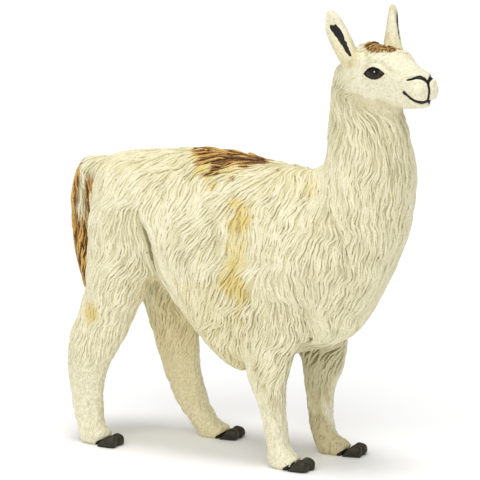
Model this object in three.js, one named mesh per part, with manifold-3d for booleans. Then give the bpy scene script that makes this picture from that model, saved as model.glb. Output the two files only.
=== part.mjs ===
// A standing llama figure in painted vinyl, about 1:16 scale, in millimetres.
// It faces -Y with +Z up and its soles on z = 0; +X is the animal's left.
//
// The figure is modelled whole as one rounded field of flesh and wool, then parted with thin cuts
// into the pieces a person would name. Stations are written as the animal stands:
// forward, left and up, from a point on the floor under the middle of the trunk.
import * as THREE from 'three';
import { mergeVertices } from 'three/addons/utils/BufferGeometryUtils.js';
import Module from 'manifold-3d';

const wasm = await Module();
wasm.setup();

// ---------------------------------------------------------------- driving dimensions
const GAP = 0.3;                 // width of every parting cut
const MIDDLE_FORWARD = 0.7;      // middle of the figure's length, measured in station coordinates
const TRACK_FRONT = 9.6;         // half the distance between the front legs
const TRACK_HIND = 10.6;         // half the distance between the hind legs
const HEAD_PIVOT = [34.0, 0, 97.6];        // centre of the braincase: forward, left, up
const HEAD_TURN = THREE.MathUtils.degToRad(23);   // the face looks a little to its right
const EYE = { forward: 7.8, side: 5.3, up: 1.0, long: 3.2, high: 1.45, thick: 1.2, turn: 8 };
const FOOT_LENGTH = 13.6;

// mesh cell of each part: the smaller, the finer
const CELL = { trunk: 4.5, head: 1.52, ear: 1.18, leg: 3.0, tail: 2.6, toe: 1.5 };

// ---------------------------------------------------------------- fields
// A field is a function of (forward, left, up), negative inside.
const FAR = 12;                  // beyond this distance a limb answers with its box distance alone
const STEPS = 5;                 // samples between two stations of a limb
const OFF_GRID = 0.013;          // keeps grid points off the body's own symmetry plane, in cells

const mix = (a, b, t) => a + (b - a) * t;

function smoothMin(a, b, blend) {
  const h = Math.max(blend - Math.abs(a - b), 0) / blend;
  return Math.min(a, b) - h * h * blend * 0.25;
}

const union = (blend, ...fields) => (f, l, u) =>
  fields.map((field) => field(f, l, u)).reduce((a, b) => smoothMin(a, b, blend));

const without = (blend, field, hollow) => (f, l, u) => -smoothMin(-field(f, l, u), hollow(f, l, u), blend);

const mirrored = (field) => (f, l, u) => field(f, -l, u);

// Both sides of the body from the left one.
const onBothSides = (field) => (f, l, u) => field(f, Math.abs(l), u);

// A rounded tube of oval section. Each station gives the section's centre (at), half its width across
// the body (wide), half its depth in the body's own plane (deep) and, for a pear shape, a taper.
function limb(stations, cap = 0.8) {
  const curveOf = (pick) =>
    new THREE.CatmullRomCurve3(stations.map((s) => new THREE.Vector3(...pick(s))), false, 'catmullrom', 0.5);
  const centres = curveOf((s) => s.at);
  const sizes = curveOf((s) => [s.wide, s.deep, s.taper ?? 0]);
  const count = (stations.length - 1) * STEPS;
  const samples = Array.from({ length: count + 1 }, (_, i) => ({
    centre: centres.getPoint(i / count),
    size: sizes.getPoint(i / count),
  }));
  const box = new THREE.Box3();
  samples.forEach(({ centre, size }) => {
    const reach = Math.max(size.x, size.y);
    box.expandByPoint(centre.clone().addScalar(reach)).expandByPoint(centre.clone().subScalar(reach));
  });
  const across = new THREE.Vector3(0, 1, 0);
  const pieces = samples.slice(1).map((end, i) => {
    const start = samples[i];
    const span = end.centre.clone().sub(start.centre);
    const length = span.length();
    const along = span.divideScalar(length);
    const side = across.clone().addScaledVector(along, -across.dot(along)).normalize();
    return { start, end, length, along, side, other: side.clone().cross(along) };
  });
  const point = new THREE.Vector3();
  const offset = new THREE.Vector3();
  return (f, l, u) => {
    point.set(f, l, u);
    const outside = box.distanceToPoint(point);
    if (outside > FAR) return outside;
    let nearest = Infinity;
    for (const { start, end, length, along, side, other } of pieces) {
      offset.subVectors(point, start.centre);
      const t = THREE.MathUtils.clamp(offset.dot(along) / length, 0, 1);
      offset.addScaledVector(along, -t * length);
      const deep = mix(start.size.y, end.size.y, t);
      const across2 = offset.dot(other) / deep;
      const taper = mix(start.size.z, end.size.z, t);
      const wide = mix(start.size.x, end.size.x, t) * (1 - taper * THREE.MathUtils.clamp(across2, -1, 1));
      const ends = Math.min(wide, deep) * cap;
      const k = Math.hypot(offset.dot(side) / wide, across2, offset.dot(along) / ends);
      const value = k > 1e-6 ? offset.length() * (1 - 1 / k) : -Math.min(wide, deep);
      nearest = Math.min(nearest, value);
    }
    return nearest;
  };
}

// A rounded lump: centre and half sizes, each as forward, left and up.
function lump([cf, cl, cu], [hf, hl, hu]) {
  const smallest = Math.min(hf, hl, hu);
  return (f, l, u) => {
    const [df, dl, du] = [f - cf, l - cl, u - cu];
    const k = Math.hypot(df / hf, dl / hl, du / hu);
    return k > 1e-6 ? Math.hypot(df, dl, du) * (1 - 1 / k) : -smallest;
  };
}

// A field drawn in a turned frame: yaw about the upright axis through a pivot.
function turned(field, [pf, pl, pu], yaw) {
  const [c, s] = [Math.cos(yaw), Math.sin(yaw)];
  return (f, l, u) => field((f - pf) * c - (l - pl) * s, (f - pf) * s + (l - pl) * c, u - pu);
}

// A body of stacked oval slices, across the axis they are stacked along (0 forward, 2 up). Each slice
// gives its place on that axis, its low and high edge in the body's own plane and half its width.
// Past either end the body closes in a cap.
function stack(axis, slices, cap, taper = 0) {
  const through = (pick) => new THREE.CatmullRomCurve3(slices.map((s) => new THREE.Vector3(...pick(s))));
  const edges = through(([at, low, high]) => [at, low, high]);
  const widths = through(([at, , , wide]) => [at, wide, 0]);
  const count = (slices.length - 1) * STEPS;
  const samples = Array.from({ length: count + 1 }, (_, i) => {
    const { x: at, y: low, z: high } = edges.getPoint(i / count);
    return { at, low, high, wide: widths.getPoint(i / count).y };
  });
  return (f, l, u) => {
    const [s, t] = axis === 0 ? [f, u] : [u, f];
    const within = THREE.MathUtils.clamp(s, samples[0].at, samples[count].at);
    const end = Math.max(samples.findIndex((sample) => sample.at >= within), 1);
    const [a, b] = [samples[end - 1], samples[end]];
    const share = (within - a.at) / (b.at - a.at);
    const [low, high, wide] = ['low', 'high', 'wide'].map((key) => mix(a[key], b[key], share));
    const [middle, half] = [(low + high) / 2, (high - low) / 2];
    const across = (t - middle) / half;
    const width = wide * (1 - taper * THREE.MathUtils.clamp(across, -1, 1));
    const beyondEnd = s - within;
    const k = Math.hypot(l / width, across, beyondEnd / (Math.min(wide, half) * cap));
    return k > 1e-6 ? Math.hypot(l, t - middle, beyondEnd) * (1 - 1 / k) : -Math.min(width, half);
  };
}

// ---------------------------------------------------------------- trunk and neck
// Slices of the trunk from the rump forward: belly line, back line and half width.
const trunkWool = stack(0, [
  [-45.5, 56, 69, 3.8],
  [-42.5, 51, 72.8, 6.5],
  [-38, 48, 75.1, 11.3],
  [-30, 47, 76.1, 15.2],
  [-19, 38.6, 77.0, 16],
  [-8, 26, 77.2, 16.4],
  [0, 20.6, 76.4, 16.2],
  [8, 23.5, 75.2, 15.6],
  [16, 28.5, 74.4, 14.8],
  [24, 30.5, 71, 13.2],
], 0.45, 0.12);

// Level slices of the neck from the chest up: nape line, throat line and half width.
const neckWool = stack(2, [
  [35.5, 18, 32, 9.5],
  [43, 16.5, 36.4, 12.2],
  [53, 17.5, 41.4, 12.8],
  [63, 19.5, 44.6, 12],
  [73, 22.0, 45.8, 10],
  [82, 22.9, 44.4, 8.6],
  [88, 23.3, 42.6, 7.6],
  [93, 23.8, 39.8, 7.0],
  [98, 24.5, 36, 6.2],
], 0.5);

// ---------------------------------------------------------------- legs
const joint = (forward, left, up, wide, deep) => ({ at: [forward, left, up], wide, deep });

// The right legs lie at negative left.
const SIDES = { left: 1, right: -1 };
const FEET = {
  front_left: { heel: [15.7, TRACK_FRONT - 1.4], turn: 5 },
  front_right: { heel: [11.0, -TRACK_FRONT - 0.4], turn: -4 },
  hind_left: { heel: [-20.0, TRACK_HIND - 2.4], turn: 6 },
  hind_right: { heel: [-43.2, -TRACK_HIND - 1.4], turn: -6 },
};

const legWool = {
  front_left: limb([
    joint(14.6, 7.6, 40, 6.5, 9),
    joint(16.6, 8.6, 32, 5.8, 7.4),
    joint(16.6, TRACK_FRONT, 25, 5.0, 6.3),
    joint(15.6, TRACK_FRONT, 18, 3.8, 4.3),
    joint(15.8, TRACK_FRONT, 11, 3.2, 3.5),
    joint(16.8, TRACK_FRONT - 0.6, 6, 3.1, 3.4),
    joint(18.6, TRACK_FRONT - 1.2, 3.0, 3.2, 2.9),
  ]),
  front_right: limb([
    joint(11.6, -7.6, 40, 6.5, 9.5),
    joint(11.4, -8.6, 31, 5.8, 7.4),
    joint(11.0, -TRACK_FRONT, 24.5, 4.9, 5.7),
    joint(11.9, -TRACK_FRONT, 17.5, 3.6, 3.9),
    joint(13.0, -TRACK_FRONT, 11, 3.0, 3.2),
    joint(13.9, -TRACK_FRONT, 6, 3.0, 3.1),
    joint(14.8, -TRACK_FRONT - 0.2, 3.0, 3.2, 2.9),
  ]),
  hind_left: limb([
    joint(-32.6, 7.5, 58, 8, 9.6),
    joint(-31.2, 8.3, 46, 7.6, 10.2),
    joint(-29.2, 9.2, 36, 6.0, 7.5),
    joint(-27.5, TRACK_HIND - 0.6, 27.5, 4.8, 6.8),
    joint(-26.0, TRACK_HIND - 0.8, 20, 4.2, 5.7),
    joint(-24, TRACK_HIND - 1, 13, 3.6, 4.9),
    joint(-20.6, TRACK_HIND - 1.4, 7, 3.3, 4.2),
    joint(-17.0, TRACK_HIND - 2, 3.2, 3.3, 3.0),
  ]),
  hind_right: limb([
    joint(-32.6, -7.5, 58, 8, 9.6),
    joint(-32.6, -8.6, 47, 7.6, 9.5),
    joint(-34.6, -9.6, 38.5, 6.4, 7.8),
    joint(-37.0, -TRACK_HIND, 31.5, 5.3, 7.3),
    joint(-39.9, -TRACK_HIND, 26, 4.7, 6.9),
    joint(-41.6, -TRACK_HIND, 20.5, 4.2, 5.9),
    joint(-42.0, -TRACK_HIND, 14, 3.7, 4.8),
    joint(-41.3, -TRACK_HIND - 0.3, 8, 3.3, 4.2),
    joint(-39.8, -TRACK_HIND - 0.8, 3.4, 3.3, 3.4),
  ]),
};

// One foot in its own frame: forward from the heel, with two toes side by side.
const footFlesh = union(0.9,
  limb([
    { at: [2.6, 0, 1.3], wide: 3.0, deep: 2.6 },
    { at: [7.6, 0, 1.5], wide: 3.3, deep: 2.4 },
  ]),
  ...[1.65, -1.65].map((side) => limb([
    { at: [7, side, 1.6], wide: 1.8, deep: 2.2 },
    { at: [FOOT_LENGTH - 1.9, side * 0.94, 1.2], wide: 1.45, deep: 1.7 },
  ], 1.1)),
);

const inFoot = (name) => ({
  pivot: [...FEET[name].heel, 0],
  yaw: THREE.MathUtils.degToRad(-FEET[name].turn),
});

const footOf = (name) => turned(footFlesh, inFoot(name).pivot, inFoot(name).yaw);

// ---------------------------------------------------------------- head
// Drawn about the braincase centre; forward runs along the face.
const headFlesh = union(2.2,
  lump([-0.8, 0, 0.4], [7.0, 6.3, 6.9]),
  limb([
    { at: [2, 0, 0.5], wide: 6.1, deep: 6.7 },
    { at: [8, 0, -0.1], wide: 5.6, deep: 6.5 },
    { at: [13, 0, -1.3], wide: 4.3, deep: 5.4 },
    { at: [17.5, 0, -2.0], wide: 3.5, deep: 4.0 },
  ], 0.9),
  limb([
    { at: [-1, 0, -4.4], wide: 4.6, deep: 3.0 },
    { at: [7, 0, -4.8], wide: 4.0, deep: 2.7 },
    { at: [15, 0, -5.5], wide: 2.7, deep: 1.7 },
  ]),
  onBothSides(lump([2.6, 3.4, -2.4], [5.0, 2.8, 4.4])),
  onBothSides(lump([6.2, 3.9, 3.5], [4.2, 2.0, 1.9])),
);

const muzzle = union(1.0,
  onBothSides(lump([18.0, 1.7, -3.0], [3.4, 2.2, 2.5])),
  onBothSides(lump([18.0, 1.6, 0.1], [2.5, 1.5, 1.3])),
);

const mouthLine = onBothSides(limb([
  { at: [21.6, 0, -5.0], wide: 0.4, deep: 0.4 },
  { at: [20.2, 2.0, -5.5], wide: 0.4, deep: 0.4 },
  { at: [18.2, 3.5, -4.7], wide: 0.4, deep: 0.4 },
  { at: [15.6, 3.9, -3.6], wide: 0.4, deep: 0.4 },
]));

const headAlone = without(0.6,
  union(1.2, headFlesh, muzzle, lump([17.5, 0, -5.5], [3.4, 2.4, 1.6])),
  mouthLine);
const head = turned(headAlone, HEAD_PIVOT, HEAD_TURN);

// ---------------------------------------------------------------- ears
// An ear as a leaf about its own root: it leans outward and back, and is hollow on its front.
// Its opening is then turned outward. Height is the upright reach from root to tip.
const EARS = {
  left: { root: [-0.6, 7.5, 5.0], height: 11.6 },
  right: { root: [-1.2, 6.5, 5.0], height: 10.8 },
};
const EAR_OPENS = THREE.MathUtils.degToRad(36);
const EAR_LEAN = { outward: 4.6, back: 1.3 };

function leftEar({ root, height }) {
  const along = (t, outward = 0, forward = 0) =>
    [forward - EAR_LEAN.back * t, EAR_LEAN.outward * t + outward, height * t];
  const leaf = limb([
    { at: along(-0.12), wide: 2.5, deep: 3.0 },
    { at: along(0.15, 0.1), wide: 2.7, deep: 2.5 },
    { at: along(0.45, 0.3), wide: 2.7, deep: 1.8 },
    { at: along(0.75, 0.2), wide: 2.3, deep: 1.25 },
    { at: along(0.92), wide: 1.3, deep: 0.95 },
  ]);
  const hollow = limb([
    { at: along(0.1, 0.1, 2.9), wide: 0.8, deep: 1.0 },
    { at: along(0.45, 0.3, 2.1), wide: 1.3, deep: 1.0 },
    { at: along(0.7, 0.2, 1.5), wide: 1.0, deep: 0.7 },
  ]);
  return turned(without(0.4, leaf, hollow), root, -EAR_OPENS);
}

// ---------------------------------------------------------------- tail
const tailWool = limb([
  { at: [-42, 0, 71.4], wide: 3.4, deep: 2.9 },
  { at: [-47.3, 0, 69.2], wide: 3.7, deep: 3.3 },
  { at: [-49.7, 0, 63], wide: 3.7, deep: 3.1 },
  { at: [-49.9, 0, 54], wide: 3.4, deep: 2.7 },
  { at: [-48.9, 0, 45], wide: 2.8, deep: 2.2 },
  { at: [-47.3, 0, 37.5], wide: 1.8, deep: 1.5 },
  { at: [-46.6, 0, 34], wide: 0.9, deep: 0.8 },
]);

// ---------------------------------------------------------------- the whole body
const torso = union(6, trunkWool, neckWool);
const body = union(2.4,
  torso, head,
  ...Object.keys(FEET).map((name) => union(1.8, legWool[name], footOf(name))),
);

// ---------------------------------------------------------------- meshes from fields
// A grid cell's eight corners are numbered by their place: bit 0 forward, bit 1 left, bit 2 up.
const CORNERS = [0, 1, 2, 3, 4, 5, 6, 7];
const AXES = [0, 1, 2];
const bit = (corner, axis) => (corner >> axis) & 1;
const edgeOf = (axis, corner) => axis * CORNERS.length + corner;
const edgeBetween = (a, b) => edgeOf(Math.log2(a ^ b), Math.min(a, b));
const CELL_EDGES = AXES.flatMap((axis) => CORNERS.filter((corner) => !bit(corner, axis))
  .map((start) => ({ axis, start, end: start + (1 << axis), key: edgeOf(axis, start) })));
const RING = [[0, 0], [1, 0], [1, 1], [0, 1]];
const CELL_FACES = AXES.flatMap((axis) => [0, 1].map((side) =>
  RING.map(([a, b]) => (side << axis) + (a << ((axis + 1) % 3)) + (b << ((axis + 2) % 3)))));

// The crossed edges of one cell, parted into the sheets of surface that run through it.
function sheetsThrough(values) {
  const inside = (corner) => values[corner] < 0;
  const crossed = CELL_EDGES.filter(({ start, end }) => inside(start) !== inside(end));
  const leader = new Map(crossed.map(({ key }) => [key, key]));
  const leaderOf = (key) => (leader.get(key) === key ? key : leaderOf(leader.get(key)));
  const join = (a, b) => leader.set(leaderOf(a), leaderOf(b));
  for (const face of CELL_FACES) {
    const sides = face.map((corner, n) => edgeBetween(corner, face[(n + 1) % 4]));
    const open = sides.filter((key) => leader.has(key));
    if (open.length === 2) join(...open);
    if (open.length === 4) {
      face.forEach((corner, n) => {
        if (inside(corner)) join(sides[n], sides[(n + 3) % 4]);
      });
    }
  }
  return Object.values(Object.groupBy(crossed, ({ key }) => leaderOf(key)));
}

// Netting: one vertex for every sheet of surface in a cell, and one quad across every grid edge
// that the surface crosses.
function netted(field, low, high, cell) {
  const clipped = (f, l, u) => {
    const box = Math.max(low[0] - f, f - high[0], low[1] - l, l - high[1], low[2] - u, u - high[2]);
    return Math.max(field(f, l, u), box);
  };
  const counts = low.map((v, i) => Math.ceil((high[i] - v) / cell) + 3);
  const at = (i, axis) => low[axis] + (i - 1 + OFF_GRID) * cell;
  const index = (i, j, k) => i + counts[0] * (j + counts[1] * k);
  const everyCell = (visit) => {
    for (let k = 0; k < counts[2] - 1; k++)
      for (let j = 0; j < counts[1] - 1; j++)
        for (let i = 0; i < counts[0] - 1; i++) visit(i, j, k);
  };
  const values = new Float32Array(counts[0] * counts[1] * counts[2]).fill(Infinity);
  everyCell((i, j, k) => { values[index(i, j, k)] = clipped(at(i, 0), at(j, 1), at(k, 2)); });

  const places = [];
  const vertexAt = new Map();      // from cell and crossed edge to vertex
  const vertexKey = (i, j, k, edge) => index(i, j, k) * AXES.length * CORNERS.length + edge;
  everyCell((i, j, k) => {
    const v = CORNERS.map((c) => values[index(i + bit(c, 0), j + bit(c, 1), k + bit(c, 2))]);
    if (v.every((x) => x < 0) || v.every((x) => x >= 0)) return;
    for (const sheet of sheetsThrough(v)) {
      const mean = [i, j, k];
      for (const { axis, start, end, key } of sheet) {
        AXES.forEach((x) => { mean[x] += bit(start, x) / sheet.length; });
        mean[axis] += v[start] / (v[start] - v[end]) / sheet.length;
        vertexAt.set(vertexKey(i, j, k, key), places.length);
      }
      places.push(mean.map((m, x) => at(m, x)));
    }
  });

  const quads = [];
  everyCell((i, j, k) => {
    const inside = values[index(i, j, k)] < 0;
    for (const axis of AXES) {
      const next = [i, j, k].map((n, x) => (x === axis ? n + 1 : n));
      if (inside === values[index(...next)] < 0) continue;
      const quad = RING.map(([a, b]) => {
        const cellAt = [i, j, k];
        cellAt[(axis + 1) % 3] -= a;
        cellAt[(axis + 2) % 3] -= b;
        const corner = (a << ((axis + 1) % 3)) + (b << ((axis + 2) % 3));
        return vertexAt.get(vertexKey(...cellAt, edgeOf(axis, corner)));
      });
      quads.push(inside ? quad : quad.reverse());
    }
  });
  settle(clipped, places, quads, cell);
  return geometryOf(places, quads);
}

// Evens the net out and draws its vertices onto the surface.
function settle(field, places, quads, cell) {
  const ROUNDS = 4;
  const d = cell * 0.05;
  const neighbours = places.map(() => new Set());
  quads.forEach((q) => q.forEach((v, i) => neighbours[v].add(q[(i + 1) % 4]).add(q[(i + 3) % 4])));
  for (let round = 0; round < ROUNDS; round++) {
    const moved = places.map((p, i) => {
      const around = [...neighbours[i]].map((n) => places[n]);
      const mean = [0, 1, 2].map((x) => around.reduce((sum, q) => sum + q[x], 0) / around.length);
      const goal = p.map((v, x) => mix(v, mean[x], 0.5));
      for (let step = 0; step < 2; step++) {
        const value = field(...goal);
        const slope = [0, 1, 2].map((x) => {
          const [a, b] = [goal.slice(), goal.slice()];
          a[x] -= d;
          b[x] += d;
          return (field(...b) - field(...a)) / (2 * d);
        });
        const steep = slope.reduce((sum, s) => sum + s * s, 0);
        const pull = THREE.MathUtils.clamp(value / Math.max(steep, 0.2), -cell / 2, cell / 2);
        slope.forEach((s, x) => { goal[x] -= s * pull; });
      }
      return goal;
    });
    moved.forEach((p, i) => { places[i] = p; });
  }
}

// Stations to world axes: +X left, -Y forward, +Z up.
const toWorld = ([f, l, u]) => [l, -f, u];

function geometryOf(places, quads) {
  const points = new Float32Array(places.flatMap(toWorld));
  const distance = (a, b) => Math.hypot(...places[a].map((v, x) => v - places[b][x]));
  const faces = quads.flatMap(([a, b, c, d]) =>
    (distance(a, c) < distance(b, d) ? [a, b, c, a, c, d] : [b, c, d, b, d, a]));
  return new THREE.BufferGeometry()
    .setAttribute('position', new THREE.BufferAttribute(points, 3))
    .setIndex(faces);
}

// ---------------------------------------------------------------- solids and cuts
function solid(geometry) {
  geometry.deleteAttribute('normal');
  geometry.deleteAttribute('uv');
  const merged = mergeVertices(geometry, 1e-4);
  return new wasm.Manifold(new wasm.Mesh({
    numProp: 3,
    vertProperties: new Float32Array(merged.attributes.position.array),
    triVerts: new Uint32Array(merged.index.array),
  }));
}

function geometryFrom(manifold) {
  const { vertProperties, triVerts, numProp } = manifold.getMesh();
  const geometry = new THREE.BufferGeometry();
  const points = Float32Array.from({ length: (vertProperties.length / numProp) * 3 },
    (_, i) => vertProperties[Math.floor(i / 3) * numProp + (i % 3)]);
  geometry.setAttribute('position', new THREE.BufferAttribute(points, 3));
  geometry.setIndex(new THREE.BufferAttribute(triVerts, 1));
  geometry.computeVertexNormals();
  return geometry;
}

const ROOM = 200;                // larger than the figure

// Everything on the side of a plane that its normal points to, as a big block.
// The plane lies across the body: it is drawn by two points, each as forward and up.
function beyond([f0, u0], [f1, u1], shift) {
  const angle = Math.atan2(u1 - u0, f1 - f0);
  const block = new THREE.BoxGeometry(ROOM, ROOM, ROOM).translate(0, 0, ROOM / 2 + shift);
  block.rotateX(-angle);
  const [x, y, z] = toWorld([f0, 0, u0]);
  return solid(block.translate(x, y, z));
}

// A prism across the body from an outline drawn in forward and up, between two distances left.
function prism(shape, leftFrom, leftTo) {
  const geometry = new THREE.ExtrudeGeometry(shape, {
    depth: leftTo - leftFrom, bevelEnabled: false, curveSegments: 12,
  });
  const turn = new THREE.Matrix4().makeBasis(
    new THREE.Vector3(0, -1, 0), new THREE.Vector3(0, 0, 1), new THREE.Vector3(-1, 0, 0));
  return solid(geometry.applyMatrix4(turn).translate(leftTo, 0, 0));
}

// The side outline of one leg's own region: an arch over the shoulder or haunch.
function legArch({ centre: [f, u], radius, back, front }, grow) {
  const r = radius + grow;
  const shape = new THREE.Shape();
  shape.moveTo(f - r, u);
  back.forEach(([pf, pu]) => shape.lineTo(pf - grow, pu));
  [...front].reverse().forEach(([pf, pu]) => shape.lineTo(pf + grow, pu));
  shape.lineTo(f + r, u);
  shape.absarc(f, u, r, 0, Math.PI, false);
  return shape;
}

const BELOW = -5;
const ARCH = {
  front: {
    centre: [15.2, 27.5], radius: 9.8, back: [[5.6, 16], [5.6, BELOW]],
    front: [[25, 18], [32, 8], [32, BELOW]],
  },
  hind: {
    centre: [-32.5, 42], radius: 15, back: [[-53, 30], [-53, BELOW]],
    front: [[-17.5, 24], [-4, 8], [-4, BELOW]],
  },
};
const INNER = 3.2;               // where the leg regions begin, left of the midline
const OUTER = 40;

function legRegion(name, grow) {
  const [end, side] = name.split('_');
  const shape = legArch(ARCH[end], grow);
  return SIDES[side] > 0 ? prism(shape, INNER - grow, OUTER) : prism(shape, -OUTER, -INNER + grow);
}

const above = (height) => {
  const block = new THREE.BoxGeometry(ROOM, ROOM, ROOM).translate(0, 0, ROOM / 2 + height);
  return solid(block);
};
const FLOOR = above(0);

// The nails cover the front of each toe, forward of a slanting cut.
const NAIL_HEEL = 7.4;
const NAIL_TOP = [11.2, 4];
function nailRegion(name, shift) {
  const [low, high] = [[NAIL_HEEL, 0], NAIL_TOP];
  const angle = Math.atan2(high[1] - low[1], high[0] - low[0]);
  const block = new THREE.BoxGeometry(ROOM, ROOM, ROOM).translate(0, -ROOM / 2 - shift, 0);
  block.rotateX(Math.PI / 2 - angle);
  block.translate(...toWorld([low[0], 0, low[1]]));
  return placedInFoot(name, block);
}

// A block of the foot on one side of the cleft between its toes: side is 1 for the left toe.
function toeSide(name, side) {
  const block = new THREE.BoxGeometry(ROOM, ROOM, ROOM).translate(side * (ROOM / 2 + GAP / 2), 0, 0);
  return placedInFoot(name, block);
}

function placedInFoot(name, geometry) {
  const { heel, turn } = FEET[name];
  geometry.rotateZ(THREE.MathUtils.degToRad(turn));
  const [x, y] = toWorld([...heel, 0]);
  return solid(geometry.translate(x, y, 0));
}

// ---------------------------------------------------------------- parts
const boxAbout = (middle, reach) =>
  [middle.map((value) => value - reach), middle.map((value) => value + reach)];
const headCut = { nape: [22, 95], throat: [43.4, 88.6] };
const neckCut = { withers: [20.5, 75], chest: [43, 50] };

const vinyl = {
  wool: new THREE.MeshStandardMaterial({ color: '#ece3c4', roughness: 0.62 }),
  hair: new THREE.MeshStandardMaterial({ color: '#efe8d2', roughness: 0.6 }),
  tailHair: new THREE.MeshStandardMaterial({ color: '#9a6a30', roughness: 0.55 }),
  nail: new THREE.MeshStandardMaterial({ color: '#3b352c', roughness: 0.5 }),
  eye: new THREE.MeshStandardMaterial({ color: '#2a1a12', roughness: 0.2 }),
};

const llama = new THREE.Group();

function add(name, manifold, material) {
  const mesh = new THREE.Mesh(geometryFrom(manifold), material);
  mesh.name = name;
  llama.add(mesh);
}

// The body inside one of the two large boxes it is netted in, grown outward where a neighbour
// is to be trimmed to it.
const BOXES = {
  trunk: [[-52, -20, 14], [52, 20, 97]],
  head: [[18, -14, 82], [60, 12, 108]],
  tail: [[-58, -7, 30], [-40, 7, 76]],
};
const EAR_BOX = { forward: 32, side: 8, up: 107, reach: 12 };
const bodyIn = (region, grown = 0) =>
  solid(netted((f, l, u) => body(f, l, u) - grown, ...BOXES[region], CELL[region]));

function addTrunkAndNeck() {
  const whole = bodyIn('trunk');
  let trunk = whole.subtract(beyond(neckCut.withers, neckCut.chest, -GAP / 2));
  for (const name of Object.keys(FEET)) trunk = trunk.subtract(legRegion(name, GAP));
  add('trunk', trunk, vinyl.wool);
  const neck = whole.intersect(beyond(neckCut.withers, neckCut.chest, GAP / 2))
    .subtract(beyond(headCut.nape, headCut.throat, -GAP / 2));
  add('neck', neck, vinyl.wool);
}

function addHead() {
  const whole = bodyIn('head');
  const head = whole.intersect(beyond(headCut.nape, headCut.throat, GAP / 2))
    .subtract(eyeball(SIDES.left, GAP))
    .subtract(eyeball(SIDES.right, GAP));
  add('head', head, vinyl.hair);
}

function addEars() {
  const grownHead = bodyIn('head', GAP);
  for (const [name, side] of Object.entries(SIDES)) {
    const own = side > 0 ? leftEar(EARS[name]) : mirrored(leftEar(EARS[name]));
    const ear = turned(own, HEAD_PIVOT, HEAD_TURN);
    const [low, high] = boxAbout([EAR_BOX.forward, side * EAR_BOX.side, EAR_BOX.up], EAR_BOX.reach);
    const whole = solid(netted(ear, low, high, CELL.ear));
    add('ear_' + name, whole.subtract(grownHead), vinyl.hair);
  }
}

// The boxes that the left legs and any toes are netted in. A toe's box is about its heel.
const LEG_BOXES = {
  front: [[2, 0, -3], [36, 22, 42]],
  hind: [[-56, 0, -3], [0, 22, 62]],
};
const TOE_BOX = { length: FOOT_LENGTH + 2, side: 6, low: -2, high: 6 };

function addLegs() {
  for (const name of Object.keys(FEET)) {
    const [end, side] = name.split('_');
    const [[back, inner, bottom], [front, outer, top]] = LEG_BOXES[end];
    const [low, high] = SIDES[side] > 0 ? [inner, outer] : [-outer, -inner];
    const whole = solid(netted(body, [back, low, bottom], [front, high, top], CELL.leg)).intersect(FLOOR);
    const leg = whole.intersect(legRegion(name, 0)).subtract(nailRegion(name, -GAP / 2));
    add('leg_' + name, leg, vinyl.wool);
    addToes(name);
  }
}

function addToes(name) {
  const [forward, left] = FEET[name].heel;
  const low = [forward, left - TOE_BOX.side, TOE_BOX.low];
  const high = [forward + TOE_BOX.length, left + TOE_BOX.side, TOE_BOX.high];
  const whole = solid(netted(body, low, high, CELL.toe))
    .intersect(FLOOR)
    .intersect(nailRegion(name, GAP / 2));
  const legSide = SIDES[name.split('_')[1]];
  add(`toe_${name}_outer`, whole.intersect(toeSide(name, legSide)), vinyl.nail);
  add(`toe_${name}_inner`, whole.intersect(toeSide(name, -legSide)), vinyl.nail);
}

function addTail() {
  const whole = solid(netted(tailWool, ...BOXES.tail, CELL.tail));
  add('tail', whole.subtract(bodyIn('trunk', GAP)), vinyl.tailHair);
}

// An almond of an eye set in the side of the face, or the pocket it sits in when grown.
const EYE_FACETS = { around: 14, across: 8 };

function eyeball(side, grow) {
  const eye = new THREE.SphereGeometry(1, EYE_FACETS.around, EYE_FACETS.across);
  eye.scale(EYE.thick + grow, EYE.long + grow, EYE.high + grow);
  eye.rotateZ(side * THREE.MathUtils.degToRad(EYE.turn));
  eye.translate(...toWorld([EYE.forward, side * EYE.side, EYE.up]));
  return solid(eye.rotateZ(-HEAD_TURN).translate(...toWorld(HEAD_PIVOT)));
}

function addEyes() {
  for (const [name, side] of Object.entries(SIDES)) add('eye_' + name, eyeball(side, 0), vinyl.eye);
}

addTrunkAndNeck();
addHead();
addEars();
addEyes();
addLegs();
addTail();

llama.position.y = MIDDLE_FORWARD;
export default llama;
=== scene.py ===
"""The looks of a small llama figurine in hand-painted vinyl.

One painted skin covers the whole body. Sculpted locks of wool lie over it, long on the body
and no more than low ridges on the face and feet. Eyes and nails are pieces of their own.

Shapes are worked out in millimetres at the animal's own stations: forward, left and up, from a
point on the floor under the middle of the trunk. Arrays of them have one row for each point.
"""

import math

import bmesh
import bpy
import numpy as np
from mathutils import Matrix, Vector
from mathutils.bvhtree import BVHTree
from mathutils.kdtree import KDTree


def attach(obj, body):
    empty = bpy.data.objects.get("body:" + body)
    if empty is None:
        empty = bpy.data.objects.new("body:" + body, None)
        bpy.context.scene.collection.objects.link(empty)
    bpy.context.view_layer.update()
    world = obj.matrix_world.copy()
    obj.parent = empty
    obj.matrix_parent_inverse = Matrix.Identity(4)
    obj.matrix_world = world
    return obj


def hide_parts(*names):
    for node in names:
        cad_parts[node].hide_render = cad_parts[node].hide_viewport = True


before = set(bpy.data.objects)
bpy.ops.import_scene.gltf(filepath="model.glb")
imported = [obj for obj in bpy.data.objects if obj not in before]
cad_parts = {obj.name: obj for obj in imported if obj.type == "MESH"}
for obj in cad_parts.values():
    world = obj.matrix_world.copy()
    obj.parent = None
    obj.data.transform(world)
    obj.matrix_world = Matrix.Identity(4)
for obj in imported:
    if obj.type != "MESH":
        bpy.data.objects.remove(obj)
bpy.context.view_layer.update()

# ---------------------------------------- names, places and sizes
MM = 0.001
MIDDLE_FORWARD = 0.7   # how far ahead of the stations' start the frame's origin lies
LEGS = ("front_left", "front_right", "hind_left", "hind_right")
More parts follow.
